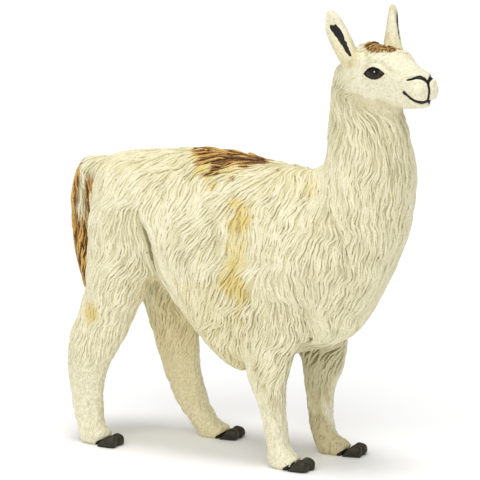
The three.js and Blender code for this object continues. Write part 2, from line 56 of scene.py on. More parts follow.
TOES = tuple(f"{leg}_{side}" for leg in LEGS for side in ("outer", "inner"))
FORELEGS, HIND_LEGS = ("leg_front_left", "leg_front_right"), ("leg_hind_left", "leg_hind_right")
BOTH_EARS = ("ear_left", "ear_right")
FLESH = ("trunk", "neck", "head", *BOTH_EARS, "tail", *FORELEGS, *HIND_LEGS)
HEAD_PIVOT = np.array([34.0, 0.0, 97.6])
HEAD_TURN = math.radians(23)
HEAD_ABOVE = 86      # all above this height is head or the top of the neck
FACE_ABOVE = 88      # and the face's features lie above this one
BACK_ABOVE = 62      # the brown patch lies above this height
CROWN_ABOVE = 4.4    # and the forelock above this one in the head's stations
SOLE_HEIGHT = 0.03   # the skin's soles stop this far above the floor
NAIL_HEIGHT = 0.01   # and the nails this far

VOXEL = 0.5          # mesh cell of the skin
NAIL_VOXEL = 0.17    # of a nail
MAP_VOXEL = 1.6      # and of the coarse skin that is unwrapped
SEAM = 0.35          # how far each solid is swollen so that the parting cuts close
WOOL_DEPTH = 0.55    # skin below the solids where the wool is long
HAIR_DEPTH = 0.08    # and where the hair is short
CLUMP_RISE = 0.26    # how far the wool's large locks stand out and their partings sink
HEM_DEPTH = 1.8      # how far the skin steps down behind the belly's hanging wool

random = np.random.default_rng(16)


def ramp(x, low, high):
    """A smooth step from 0 at low to 1 at high; low may be the larger."""
    t = np.clip((x - low) / (high - low), 0, 1)
    return t * t * (3 - 2 * t)


def mix(a, b, t):
    return a + (b - a) * t


def bell(x, width):
    return np.exp(-(x / width) ** 2)


def to_stations(row):
    x, y, z = np.asarray(row).T / MM
    return np.stack([MIDDLE_FORWARD - y, x, z], 1)


def to_row(points):
    forward, left, up = np.asarray(points, float).T
    return np.stack([left, MIDDLE_FORWARD - forward, up], 1) * MM


def to_head(points):
    """From body stations to the head's own: forward runs along the face."""
    forward, left, up = (points - HEAD_PIVOT).T
    c, s = math.cos(HEAD_TURN), math.sin(HEAD_TURN)
    return np.stack([forward * c - left * s, forward * s + left * c, up], 1)


def from_head(places):
    """From the head's stations back to the body's."""
    forward, left, up = np.asarray(places, float).T
    c, s = math.cos(HEAD_TURN), math.sin(HEAD_TURN)
    return np.stack([forward * c + left * s, -forward * s + left * c, up], 1) + HEAD_PIVOT


def unit(vectors):
    return vectors / np.maximum(np.linalg.norm(vectors, axis=-1, keepdims=True), 1e-9)


def dot(a, b):
    return (a * b).sum(-1, keepdims=True)


def swell(points, wavelength, seed, count=14):
    """Smooth noise of about unit size: plane waves in seeded directions."""
    draw = np.random.default_rng(seed)
    ways = unit(draw.normal(size=(count, 3)))
    lengths = wavelength * draw.uniform(0.7, 1.5, (count, 1))
    phases = draw.uniform(0, 2 * math.pi, count)
    return np.sin(points @ (ways * 2 * math.pi / lengths).T + phases).sum(1) * math.sqrt(2 / count)


# ---------------------------------------- meshes and arrays
def new_object(name, data):
    made = bpy.data.objects.new(name, data)
    bpy.context.scene.collection.objects.link(made)
    return made


def mesh_of(name, points, face_groups):
    """A smooth-shaded mesh. Each face group is an array with one row of corners for each face."""
    mesh = bpy.data.meshes.new(name)
    corners = np.concatenate([group.ravel() for group in face_groups])
    sizes = np.concatenate([np.full(len(group), group.shape[1]) for group in face_groups])
    mesh.vertices.add(len(points))
    mesh.vertices.foreach_set("co", to_row(points).ravel())
    mesh.loops.add(len(corners))
    mesh.loops.foreach_set("vertex_index", corners.astype(np.int32))
    mesh.polygons.add(len(sizes))
    mesh.polygons.foreach_set("loop_start", (np.cumsum(sizes) - sizes).astype(np.int32))
    mesh.update(calc_edges=True)
    mesh.shade_smooth()
    return mesh


def piece_of(name, mesh, material, replaced=()):
    piece = new_object(name, mesh)
    mesh.materials.append(material)
    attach(piece, "root")
    if replaced:
        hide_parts(*replaced)


def read(items, key, width, kind=np.float32):
    values = np.empty(len(items) * width, kind)
    items.foreach_get(key, values)
    return values.reshape(-1, width) if width > 1 else values


def points_of(mesh):
    return to_stations(read(mesh.vertices, "co", 3))


def normals_of(mesh):
    """Vertex normals in stations."""
    x, y, z = read(mesh.vertices, "normal", 3).T
    return np.stack([-y, x, z], 1).astype(float)


def triangles_of(mesh):
    mesh.calc_loop_triangles()
    return read(mesh.loop_triangles, "vertices", 3, np.int32)


def move_to(mesh, points):
    mesh.vertices.foreach_set("co", to_row(points).ravel())
    mesh.update()


def set_attribute(mesh, name, values):
    kind = "FLOAT" if values.ndim == 1 else "FLOAT_VECTOR"
    field = "value" if values.ndim == 1 else "vector"
    mesh.attributes.new(name, kind, "POINT").data.foreach_set(field, values.astype(np.float32).ravel())


def tree_of(points, triangles):
    return BVHTree.FromPolygons(points.tolist(), triangles.tolist())


def neighbour_mean(mesh):
    """A function that gives each vertex the mean of its neighbours' values."""
    edges = read(mesh.edges, "vertices", 2, np.int32)
    both = np.concatenate([edges, edges[:, ::-1]])
    both = both[np.argsort(both[:, 0], kind="stable")]
    first = np.searchsorted(both[:, 0], np.arange(len(mesh.vertices)))
    valence = np.bincount(both[:, 0], minlength=len(mesh.vertices))

    def mean(values):
        shape = (-1,) + (1,) * (values.ndim - 1)
        return np.add.reduceat(values[both[:, 1]], first) / valence.reshape(shape)

    return mean


def evened(values, mean, rounds, strength=1.0):
    for _ in range(rounds):
        values = values + strength * (mean(values) - values)
    return values


def remeshed(mesh, voxel):
    """A copy of a closed mesh with even square cells, in millimetres."""
    holder = new_object("remesh", mesh)
    modifier = holder.modifiers.new("cells", "REMESH")
    modifier.mode = "VOXEL"
    modifier.voxel_size = voxel * MM
    even = bpy.data.meshes.new_from_object(holder.evaluated_get(bpy.context.evaluated_depsgraph_get()))
    bpy.data.objects.remove(holder)
    return even


def swollen(names, reach):
    """The named CAD solids in one mesh, each moved outward by reach."""
    joined = bmesh.new()
    for name in names:
        solid = bmesh.new()
        solid.from_mesh(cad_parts[name].data)
        bmesh.ops.remove_doubles(solid, verts=solid.verts, dist=0.004 * MM)
        solid.normal_update()
        for vertex, way in [(v, v.normal.copy()) for v in solid.verts]:
            vertex.co += way * reach * MM
        part = bpy.data.meshes.new(name + "_swollen")
        solid.to_mesh(part)
        solid.free()
        joined.from_mesh(part)
        bpy.data.meshes.remove(part)
    mesh = bpy.data.meshes.new("swollen")
    joined.to_mesh(mesh)
    joined.free()
    return mesh


# ---------------------------------------- the skin: shape
# How strongly each solid's facets are smoothed away.
SOFTNESS = {
    "trunk": 1.0, "neck": 0.9, "tail": 0.35, "head": 0.1,
    **dict.fromkeys(BOTH_EARS, 0.03), **dict.fromkeys(FORELEGS + HIND_LEGS, 0.4),
}
SMOOTHING_ROUNDS = 40


def nearest_solid(points):
    """For each point, the index in FLESH of the solid nearest to it, and its depth below the solids."""
    places, faces, owner = [], [], []
    start = 0
    for index, name in enumerate(FLESH):
        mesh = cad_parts[name].data
        own = triangles_of(mesh)
        places.append(points_of(mesh))
        faces.append(own + start)
        owner += [index] * len(own)
        start += len(places[-1])
    tree = tree_of(np.concatenate(places), np.concatenate(faces))
    solid = np.empty(len(points), int)
    depth = np.empty(len(points))
    for i, point in enumerate(points.tolist()):
        spot, normal, face, _ = tree.find_nearest(point)
        solid[i] = owner[face]
        depth[i] = (spot - Vector(point)).dot(normal)
    return solid, depth


def is_part(solid, *names):
    return np.isin(solid, [FLESH.index(name) for name in names])


def wool_length(points, solid):
    """From 0 on face, ears and feet to 1 where the wool is long."""
    forward, _, up = points.T
    length = np.ones(len(points))
    front = is_part(solid, *FORELEGS)
    hind = is_part(solid, *HIND_LEGS)
    length[front] = ramp(up[front], 12, 28)
    length[hind] = ramp(up[hind], 14, 36)
    face = is_part(solid, "head")
    own = to_head(points[face])
    slope = np.where(own[:, 2] < 0, 1.05, 0.45)
    length[face] = ramp(own[:, 0] + slope * own[:, 2], -0.2, -5.2)
    length[is_part(solid, *BOTH_EARS)] = 0
    return length


# Where the belly's wool hangs over the thigh: a line given as up and forward.
HEM_UP = (42.5, 45.6, 49.3, 53.3, 57.7, 63.0)
HEM_FORWARD = (-17.5, -19.2, -19.4, -19.8, -21.2, -23.6)


def behind_hem(points):
    """Distance behind the wool's hanging edge, and how marked the edge is there, from 0 to 1."""
    forward, left, up = points.T
    marked = ramp(up, 65, 56) * ramp(up, 39.5, 42) * ramp(np.abs(left), 8, 10.5)
    return np.interp(up, HEM_UP, HEM_FORWARD) - forward, marked


def clumping(points):
    """Long upright swells, the wool's large locks: about -1 in their partings and 1 on their backs."""
    forward, left, up = points.T
    along = np.stack([forward + 0.35 * up, left, 0.25 * up], 1)
    return np.tanh(swell(along, 4.2, 11) + 0.5 * swell(along, 2.0, 12))


def make_skin_mesh():
    mesh = remeshed(swollen((*FLESH, "eye_left", "eye_right"), SEAM), VOXEL)
    points, mean = points_of(mesh), neighbour_mean(mesh)
    sole = points[:, 2] < -0.1
    solid, _ = nearest_solid(points)
    softness = np.array([SOFTNESS[name] for name in FLESH])[solid]
    softness = evened(softness, mean, 4)[:, None]
    points = evened(points, mean, SMOOTHING_ROUNDS, softness)
    length = evened(wool_length(points, solid), mean, 6)
    # the skin settles at the coat's depth below the solids, whatever the smoothing took
    move_to(mesh, points)
    _, depth = nearest_solid(points)
    wanted = mix(HAIR_DEPTH, WOOL_DEPTH - CLUMP_RISE * clumping(points), length)
    sink = evened(wanted - depth, mean, 10)
    behind, marked = behind_hem(points)
    sink += HEM_DEPTH * marked * ramp(behind, -0.4, 0.4) * np.exp(-np.maximum(behind, 0) / 2.4)
    points -= normals_of(mesh) * sink[:, None]
    points[sole, 2] = SOLE_HEIGHT
    points[:, 2] = np.maximum(points[:, 2], SOLE_HEIGHT)
    move_to(mesh, points)
    return mesh


# ---------------------------------------- the head's features
EYE = {"forward": 7.7, "side": 5.3, "up": 0.85, "long": 2.95, "high": 1.4}
EYE_TURN = math.radians(8)
# Each route gives forward, side, up and half the painted line's width.
NOSTRIL_ROUTE = [
    (16.9, 3.4, 0.05, 0.3), (18.2, 3.1, 0.3, 0.34), (19.2, 2.6, 0.7, 0.44), (19.9, 1.9, 0.75, 0.6),
    (20.5, 0.9, 0.3, 0.46), (20.9, 0.0, -0.5, 0.46),
]
PHILTRUM_ROUTE = [(20.9, 0.0, -0.5, 0.46), (21.2, 0.0, -2.5, 0.4), (20.6, 0.0, -5.1, 0.44)]
MOUTH_ROUTE = [
    (15.9, 3.8, -3.3, 0.5), (17.4, 3.4, -4.1, 0.42), (18.5, 3.0, -4.8, 0.42), (19.4, 2.2, -5.25, 0.44),
    (20.2, 1.2, -5.5, 0.5), (20.6, 0.0, -5.1, 0.44),
]
ROUTES = (NOSTRIL_ROUTE, PHILTRUM_ROUTE, MOUTH_ROUTE)
MUZZLE_MIDDLE = (15.0, 0.0, -2.5)
LIP_LOBE = (19.3, 2.3, -2.4)


def on_surface(route, tree, count=30):
    """A route in the head's stations, cast from the muzzle's middle onto a surface in fine steps."""
    route = np.array(route) * (1, -1, 1, 1)
    at = np.linspace(0, len(route) - 1, count)
    fine = np.stack([np.interp(at, np.arange(len(route)), column) for column in route.T], 1)
    middle = from_head([MUZZLE_MIDDLE])[0]
    ways = unit(from_head(fine[:, :3]) - middle)
    spots = np.array([tuple(tree.ray_cast(middle, way)[0]) for way in ways.tolist()])
    return np.column_stack([to_head(spots) * (1, -1, 1), fine[:, 3]])


def distance_to_line(points, line):
    """Distance from each point to a line of straight spans, less the line's half width there."""
    line = np.array(line, float)
    nearest = np.full(len(points), np.inf)
    for start, end in zip(line[:-1], line[1:]):
        span = (end - start)[:3]
        t = np.clip((points - start[:3]) @ span / (span @ span), 0, 1)
        away = np.linalg.norm(points - start[:3] - t[:, None] * span, axis=1)
        nearest = np.minimum(nearest, away - mix(start[3], end[3], t))
    return nearest


def distance_to_lines(points, lines):
    return np.minimum.reduce([distance_to_line(points, line) for line in lines])


def from_eye(head_points):
    """Distance outside the eye's almond, negative inside it, and large near the head's middle."""
    side = np.abs(head_points[:, 1])
    along = (head_points[:, 0] - EYE["forward"]) * math.cos(EYE_TURN)
    rise = head_points[:, 2] - EYE["up"] - 0.06 * along
    t = np.clip(along / EYE["long"], -1, 1)
    lid = EYE["high"] * (1 - t * t) * np.where(rise > 0, 1.0, 0.8)
    beyond = np.abs(along) - EYE["long"]
    outside = np.where(beyond > 0, np.hypot(np.maximum(beyond, 0), rise), (np.abs(rise) - lid) * 0.85)
    return np.where(side > 3.0, outside, 9.0)


def folded(points):
    """For each mesh point near the head, its head stations with the left side folded onto the right."""
    own = to_head(points)
    return np.stack([own[:, 0], np.abs(own[:, 1]), own[:, 2]], 1)


def groove(distance, width, depth):
    return -depth * bell(distance, width)


def subdivide_where(mesh, test):
    """Halves the edges whose two ends both pass a test of their places."""
    keep = test(points_of(mesh))
    work = bmesh.new()
    work.from_mesh(mesh)
    work.verts.ensure_lookup_table()
    edges = [e for e in work.edges if keep[e.verts[0].index] and keep[e.verts[1].index]]
    bmesh.ops.subdivide_edges(work, edges=edges, cuts=1, use_grid_fill=True)
    work.to_mesh(mesh)
    work.free()
    mesh.shade_smooth()


def on_front_of_head(points):
    return (to_head(points)[:, 0] > -8) & (points[:, 2] > HEAD_ABOVE) & (points[:, 0] > 22)


def near_face_feature(points):
    own = folded(points)
    away = np.minimum(distance_to_lines(own, ROUTES), np.abs(from_eye(own)))
    return (away < 1.5) & (own[:, 0] > 2) & (points[:, 2] > FACE_ABOVE)


def lines_on(mesh):
    """The painted routes, with their half widths, on the face's surface."""
    tree = tree_of(points_of(mesh), triangles_of(mesh))
    return [on_surface(route, tree) for route in ROUTES]


def sculpt_head(mesh):
    """Lids round the eyes, and the grooves of nostrils, lips and mouth."""
    subdivide_where(mesh, on_front_of_head)
    mean = neighbour_mean(mesh)
    points = points_of(mesh)
    near = (points[:, 2] > HEAD_ABOVE)[:, None]
    points = np.where(near, evened(points, mean, 3, 0.5), points)
    move_to(mesh, points)
    subdivide_where(mesh, near_face_feature)

    points, normals = points_of(mesh), normals_of(mesh)
    own = folded(points)
    eye = from_eye(own)
    rise = own[:, 2] - EYE["up"]
    upper = ramp(rise, -0.4, 0.6)
    push = -0.75 * ramp(eye, 0.05, -0.35)
    push += (0.2 + 0.24 * upper) * bell(eye - 0.38, 0.34)
    push += -0.2 * upper * bell(eye - 1.15, 0.36) - 0.12 * bell(eye - 1.3, 0.5)
    push += 0.16 * upper * bell(eye - 2.0, 0.6)
    face = own[:, 0] > 12
    line = distance_to_lines(own, lines_on(mesh))
    lobe = 0.45 * bell(np.linalg.norm(own - LIP_LOBE, axis=1), 2.0)
    lips = groove(np.maximum(line + 0.15, 0), 0.3, 0.42) + groove(line - 0.65, 0.4, -0.14) + lobe
    push += np.where(face, lips, 0)
    push[own[:, 0] < 2] = 0
    points += normals * push[:, None]
    move_to(mesh, points)


# ---------------------------------------- markings
# Each marking is a share from 0 to 1 at any place on the body, the same for skin and coat. The olive
# wash's share also holds painted shade.
def saddle_reach(points):
    """Distance outside the brown patch on the back, as a share of its half width: 1 at its edge."""
    forward, left, _ = points.T
    centre, half_length = -4.4, 11.8
    half_width = mix(6.6, 8.2, ramp(forward, 1, -7))
    away = np.abs(forward - centre)
    t = np.clip(away / half_length, 0, 0.995)
    return np.abs(left) / (half_width * (1 - t ** 3)) + np.maximum(away - half_length, 0)


CROWN = (4.3, 5.0, 4.7)   # middle, half length and half width of the forelock


def from_crown(own):
    """Distance from the forelock's middle in the head's stations, 1 at its edge."""
    middle, half_length, half_width = CROWN
    return np.hypot((own[:, 0] - middle) / half_length, own[:, 1] / half_width)


def brown_share(points, solid):
    stray = 0.16 * swell(points, 3.0, 5)
    saddle = ramp(saddle_reach(points) + 0.6 * stray, 1.04, 0.9) * is_part(solid, "trunk")
    saddle = saddle * (points[:, 2] > BACK_ABOVE)
    own = to_head(points)
    forelock = ramp(from_crown(own) + 0.4 * stray, 1.08, 0.9) * is_part(solid, "head")
    forelock = forelock * (own[:, 2] > CROWN_ABOVE)
    tail = is_part(solid, "tail") * tail_brown(points, stray)
    return np.maximum.reduce([saddle, forelock, tail])


def tail_brown(points, stray):
    """The tail is brown below and along its rear, with a cream wedge at the upper front."""
    forward, _, up = points.T
    middle = -48.4 - 1.2 * ramp(up, 72, 60)
    rear = ramp(forward - middle + stray, 0.9, -0.3) * ramp(up, 73.5, 70.5)
    low = ramp(up + 2.5 * stray, 60, 54)
    inner_edge = ramp(forward - middle, 1.6, 2.3) * ramp(up, 70, 66)
    return np.maximum.reduce([rear, low, inner_edge])


# Each yellow smear on the right side: its middle, forward and up, half length, half height, strength.
SMEARS = (
    (5.0, 61.5, 4.2, 6.0, 0.95), (5.0, 45.3, 3.9, 6.2, 0.9), (5.0, 54.0, 3.2, 7.0, 0.6),
    (1.5, 24.0, 5.0, 3.5, 0.35), (21.8, 71.8, 2.2, 4.5, 0.4), (-6.0, 32.0, 13.0, 13.0, 0.22),
)


def yellow_share(points, solid):
    forward, left, up = points.T
    stray = 0.35 * swell(points, 4.0, 7)
    right = ramp(left, 2.0, -2.0)
    trunk = is_part(solid, "trunk")
    reach = saddle_reach(points) + 0.3 * stray
    halo = ramp(reach, 1.38, 1.1) * ramp(forward, 4, -3) * trunk * (up > 60) * 0.9
    hock = 0.85 * ramp(np.hypot(forward + 37.4, up - 34.6) + stray, 4.0, 1.0) * right
    ears = 0.32 * is_part(solid, *BOTH_EARS) * ramp(to_head(points)[:, 2], 11.5, 5.5)
    back = 0.14 * trunk * ramp(up, 68, 74)
    # a tan tint on the hind legs' inner sides, partly painted shade
    inner = 0.35 * is_part(solid, *HIND_LEGS) * ramp(np.abs(left), 11.5, 8.0)
    shares = [halo, hock, ears, back, inner]
    for ahead, height, half_length, half_height, strength in SMEARS:
        far = ((forward - ahead) / half_length) ** 2 + ((up - height) / half_height) ** 2 + stray
        shares.append(strength * ramp(far, 1.3, 0.1) * right * trunk)
    return np.clip(np.maximum.reduce(shares), 0, 1)


def wash_and_shade_share(points, solid):
    """How much olive wash and painted shade lie on the cream: wash and painted shade most in the
    partings, painted shade low on the neck, on the chest, under the jaw and chest, on the forelegs'
    inner sides and in the crease behind the belly's hanging wool.
    """
    forward, left, up = points.T
    # the wash and painted shade in the large locks' partings, and painted shade toward the body's front
    pooled_and_shaded = mix(0.24, 0.38, ramp(forward, -24, -6))
    pooled_and_shaded = pooled_and_shaded - 0.24 * clumping(points) + 0.12 * swell(points, 14.0, 21)
    head = is_part(solid, "head")
    pooled_and_shaded = np.where(head, mix(0.26, pooled_and_shaded, 0.4), pooled_and_shaded)
    own = to_head(points)
    crown = 0.45 * head * ramp(from_crown(own), 1.15, 0.95) * (own[:, 2] > 4)
    # painted shade under the jaw
    jaw = 0.6 * head * ramp(own[:, 2] + 0.2 * own[:, 0], -2.2, -5.2)
    # painted shade on the front of the neck and the chest
    neck = is_part(solid, "neck") * mix(0.08, 0.26, ramp(forward, 24, 36))
    chest = 0.2 * is_part(solid, "trunk") * ramp(forward, 18, 32)
    # painted shadow in the crease behind the belly's hanging wool
    behind, marked = behind_hem(points)
    fold = 0.6 * ramp(behind, 2.4, 0.9) + 0.4 * ramp(behind, 7.0, 1.0) * ramp(up, 56, 46)
    hem = marked * ramp(behind, -0.2, 0.3) * fold
    # painted shade on the forelegs' inner sides, deepest under the chest
    inner = is_part(solid, *FORELEGS) * ramp(np.abs(left), 11.5, 6.0)
    under = inner * mix(0.3, 0.85, ramp(up, 15, 24))
    return np.minimum(pooled_and_shaded + neck + chest + crown + jaw + 0.35 * inner, 0.8) + hem + under


# ---------------------------------------- the lie of the coat
WAVE_STRETCH = np.array([0.4, 0.4, 1.0])   # neighbours across the wool wave together


def coat_direction(points, normals, solid):
    """The way the hair runs at each skin vertex, along the skin."""
    forward, left, up = points.T
    count = len(points)
    way = np.tile([0.0, 0.0, -1.0], (count, 1))

    trunk = is_part(solid, "trunk")
    top = ramp(up, 66, 75)
    rear = ramp(forward, 20, 6)
    haunch = ramp(forward, -20, -28)
    belly = ramp(up, 36, 28)
    sweep = mix(mix(0.36, 1.25, top) * rear, 0.22, haunch * (1 - top))
    way[trunk, 0] = -(sweep * (1 - 0.6 * belly) + 0.06)[trunk]
    saddle = ramp(saddle_reach(points), 1.25, 0.7) * top
    way[trunk, 1] = (np.tanh(left / 1.5) * top * mix(0.8, 0.45, saddle))[trunk]
    way[trunk, 0] -= (1.1 * saddle)[trunk]

    neck = is_part(solid, "neck")
    way[neck, 0] = (0.36 * ramp(up, 76, 90) - 0.2 * ramp(up, 62, 50))[neck]

    front = is_part(solid, *FORELEGS)
    way[front, 0] = -(0.25 + 0.35 * ramp(up, 18, 26))[front]
    hind = is_part(solid, *HIND_LEGS)
    way[hind, 0] = -0.2 - 0.25 * ramp(up, 40, 32)[hind]

    behind, marked = behind_hem(points)
    way[:, 0] = mix(way[:, 0], 0.24, marked * bell(behind, 4.5))

    tail = is_part(solid, "tail")
    way[tail, 0] = -1.2 * ramp(up, 68, 72)[tail]

    head = is_part(solid, "head")
    own = to_head(points)
    combed = np.tile([-1.0, 0.0, -0.45], (count, 1))
    combed[:, 2] -= 1.6 * ramp(own[:, 0], 0, -3.5)
    parted = unit(own - (CROWN[0] - 1.5, 0, 7.0)) + (0, 0, -0.3)
    combed = mix(parted, combed, ramp(from_crown(own), 1.15, 1.4)[:, None])
    way[head] = (from_head(combed) - HEAD_PIVOT)[head]
    ears = is_part(solid, *BOTH_EARS)
    way[ears] = (0.0, 0.0, 1.0)

    return unit(way - dot(way, normals) * normals)


def wave_turn(points, solid, length):
    """How far the wool turns from its lie, in radians: broad bends and the short crimp within them."""
    crimp = 0.19 * swell(points * WAVE_STRETCH, 3.4, 4)
    broad = 0.2 * swell(points * WAVE_STRETCH, 10.0, 3)
    return (0.25 + 0.75 * length) * (crimp + broad) * np.where(is_part(solid, "tail"), 0.35, 1.0)


def turned_in_skin(way, normals, angle):
    side = np.cross(normals, way)
    return way * np.cos(angle)[:, None] + side * np.sin(angle)[:, None]


class Skin:
    """The finished skin with what its coat needs: a way down onto it, and fields on its vertices."""

    def __init__(self, mesh):
        self.points = points_of(mesh)
        self.normals = normals_of(mesh)
        self.triangles = triangles_of(mesh)
        self.tree = tree_of(self.points, self.triangles)
        mean = neighbour_mean(mesh)
        self.solid, _ = nearest_solid(self.points)
        self.length = evened(wool_length(self.points, self.solid), mean, 8)
        way = evened(coat_direction(self.points, self.normals, self.solid), mean, 12)
        way = unit(way - dot(way, self.normals) * self.normals)
        self.way = turned_in_skin(way, self.normals, wave_turn(self.points, self.solid, self.length))

    def drop(self, places):
        """The nearest places on the skin, and the corners of the triangles they lie in."""
        hits = [self.tree.find_nearest(place) for place in places.tolist()]
        spots = np.array([tuple(hit[0]) for hit in hits])
        return spots, self.triangles[[hit[2] for hit in hits]]

    def at(self, field, corners):
        """A vertex field's mean over each triangle."""
        return field[corners].mean(1)


# ---------------------------------------- the coat's locks
def spread_roots(skin, count, across, along):
    """Places on the skin, no two within the oval that one lock's root takes up."""
    corners = skin.points[skin.triangles]
    area = np.linalg.norm(np.cross(corners[:, 1] - corners[:, 0], corners[:, 2] - corners[:, 0]), axis=1)
    picked = skin.triangles[random.choice(len(area), count, p=area / area.sum())]
    share = random.dirichlet((1, 1, 1), count)
    places = (skin.points[picked] * share[:, :, None]).sum(1)
    ways = unit(skin.at(skin.way, picked))
    sides = np.cross(unit(skin.at(skin.normals, picked)), ways)
    length = skin.at(skin.length, picked)
    across = mix(*across, length)
    along = mix(*along, length)
    tree = KDTree(count)
    for i, place in enumerate(places):
        tree.insert(place, i)
    tree.balance()
    free = np.ones(count, bool)
    chosen = []
    for i in range(count):
        if not free[i]:
            continue
        chosen.append(i)
        near = np.array([hit[1] for hit in tree.find_range(places[i], along[i])])
        offset = places[near] - places[i]
        oval = (offset @ ways[i] / along[i]) ** 2 + (offset @ sides[i] / across[i]) ** 2
        free[near[oval < 1]] = False
    return places[chosen]


# Across a lock: four points over its crest and one sunk below it.
ACROSS = np.array([-1.0, -0.42, 0.3, 1.0, 0.0])
CREST = np.array([0.0, 0.9, 1.0, 0.0, 0.0])
SUNK = np.array([0.12, 0.0, 0.0, 0.12, 0.3])
CRIMP = 0.2            # each lock's own waviness, in radians
CRIMP_LENGTH = 4.2     # and the length of one wave
RIM = len(ACROSS)


def grow_locks(skin, roots, rings, size, stray, lift):
    """Closed tapering ridges that follow the coat from their roots.

    size gives a lock's length, half width and height, each where the hair is short and where the
    wool is long. stray is how far locks veer from the lie, in radians, and lift how far they stand
    off the skin. Returns the points, the faces as quads and end triangles, and what the paint needs.
    """
    spots, corners = skin.drop(roots)
    wool = skin.at(skin.length, corners)
    length, half, height = (
        mix(*ends, wool) * random.uniform(1 - spread, 1 + spread, len(roots))
        for ends, spread in zip(size, (0.35, 0.25, 0.3))
    )
    veer = random.normal(0, stray, len(roots))
    phase = random.uniform(0, 2 * math.pi, len(roots))
    steps = rings + 2
    stride = length / (steps - 1)
    centres, normals, ways = [], [], []
    for step in range(steps):
        normal = unit(skin.at(skin.normals, corners))
        way = skin.at(skin.way, corners)
        way = unit(way - dot(way, normal) * normal)
        wiggle = CRIMP * np.sin(phase + 2 * math.pi * step * stride / CRIMP_LENGTH)
        way = turned_in_skin(way, normal, veer + wiggle)
        centres.append(spots)
        normals.append(normal)
        ways.append(way)
        spots, corners = skin.drop(spots + way * stride[:, None])
    centres, normals, ways = (np.stack(rows, 1) for rows in (centres, normals, ways))
    sides = np.cross(normals, ways)

    t = np.linspace(0, 1, steps)[1:-1]
    wide = np.sin(np.pi * t ** 0.8) ** 0.7
    high = np.sin(np.pi * t ** 1.1) ** 0.8
    skew = random.uniform(-0.2, 0.2, (len(roots), 1)) * np.array([0, 1, 1, 0, 0])
    rise = lift + random.uniform(-0.08, 0.12, len(roots)) * mix(0.3, 1.0, wool)
    out = half[:, None, None] * wide[:, None] * (ACROSS + skew)[:, None]
    top = (height[:, None] * high)[..., None] * CREST + rise[:, None, None]
    top = top - mix(0.5, 1.0, wool)[:, None, None] * SUNK
    body = centres[:, 1:-1, None] + sides[:, 1:-1, None] * out[..., None]
    body = body + normals[:, 1:-1, None] * top[..., None]
    sink = normals * 0.12
    tips = np.stack([centres[:, 0] - sink[:, 0], centres[:, -1] - sink[:, -1]], 1)
    points = np.concatenate([body.reshape(len(roots), -1, 3), tips], 1)

    per_lock = rings * RIM + 2
    ring = np.arange(RIM)
    follow = (ring + 1) % RIM
    low = np.arange(rings - 1)[:, None] * RIM
    quads = np.stack([low + ring, low + follow, low + RIM + follow, low + RIM + ring], -1).reshape(-1, 4)
    last = (rings - 1) * RIM
    first_end = np.stack([follow, ring, np.full(RIM, rings * RIM)], 1)
    last_end = np.stack([last + ring, last + follow, np.full(RIM, rings * RIM + 1)], 1)
    ends = np.concatenate([first_end, last_end])
    start = (np.arange(len(roots)) * per_lock)[:, None, None]

    crest = np.broadcast_to((high[:, None] * CREST).ravel(), (len(roots), rings * RIM))
    crest = np.concatenate([crest, np.zeros((len(roots), 2))], 1)
    along = length[:, None] * np.concatenate([np.repeat(t, RIM), [0, 1]])
    across = half[:, None] * np.concatenate([np.tile(ACROSS, rings), [0, 0]])
    number = np.broadcast_to(random.uniform(1, 100, (len(roots), 1)), along.shape)
    return {
        "points": points.reshape(-1, 3),
        "faces": [(quads + start).reshape(-1, 4), (ends + start).reshape(-1, 3)],
        "crest": crest.ravel(),
        "strand": np.stack([across, along, number], -1).reshape(-1, 3),
        "per_lock": per_lock,
        "rings": rings,
        "roots": centres[:, 0],
    }


class Unwrap:
    """A flat map of the skin's own shape, from a coarse copy of it."""

    def __init__(self, skin_mesh):
        coarse = remeshed(skin_mesh.copy(), MAP_VOXEL)
        flat = new_object("coarse_skin", coarse)
        bpy.context.view_layer.objects.active = flat
        flat.select_set(True)
        bpy.ops.object.mode_set(mode="EDIT")
        bpy.ops.mesh.select_all(action="SELECT")
        bpy.ops.uv.smart_project(angle_limit=math.radians(60), island_margin=0.004)
        bpy.ops.object.mode_set(mode="OBJECT")
        self.points = points_of(coarse)
        self.triangles = triangles_of(coarse)
        loops = read(coarse.loop_triangles, "loops", 3, np.int32)
        self.map = read(coarse.uv_layers.active.data, "uv", 2)[loops]
        self.tree = tree_of(self.points, self.triangles)
        bpy.data.objects.remove(flat)

    def place(self, points):
        """Where each point falls on the map."""
        spots = np.empty((len(points), 2))
        for i, point in enumerate(points.tolist()):
            near, _, face, _ = self.tree.find_nearest(point)
            a, b, c = self.points[self.triangles[face]]
            weights = np.linalg.lstsq(np.stack([a, b, c]).T, np.array(near), rcond=None)[0]
            spots[i] = weights @ self.map[face]
        return spots


PATCH = 0.003   # the side of one lock's patch, as a share of the map's


def lay_patches(mesh, locks, unwrap):
    """The OFBake map: each lock is a small patch at its root's place on the unwrapped skin."""
    rings, per_lock = locks["rings"], locks["per_lock"]
    centre = unwrap.place(locks["roots"])
    columns, wrap_column = [-0.5, -0.25, 0.0, 0.25, 0.4], 0.5
    u = np.concatenate([np.tile(columns, rings), [-0.06, -0.06]])
    v = np.concatenate([np.repeat((np.arange(rings) + 1) / (rings + 1) - 0.5, RIM), [-0.5, 0.5]])
    corner = read(mesh.loops, "vertex_index", 1, np.int32)
    lock, place = np.divmod(corner, per_lock)
    uv = centre[lock] + np.stack([u[place], v[place]], 1) * PATCH
    # the strip that closes a ring wraps to the map's last column
    quad_corners = locks["faces"][0].size
    face = np.arange(quad_corners).reshape(-1, 4)
    column = corner % per_lock % RIM
    closing = face[(column[face] == RIM - 1).any(1) & (column[face] == 0).any(1)]
    wrapped = closing[column[closing] == 0]
    uv[wrapped, 0] = centre[lock[wrapped], 0] + wrap_column * PATCH
    layer = mesh.uv_layers.new(name="OFBake")
    layer.data.foreach_set("uv", uv.astype(np.float32).ravel())


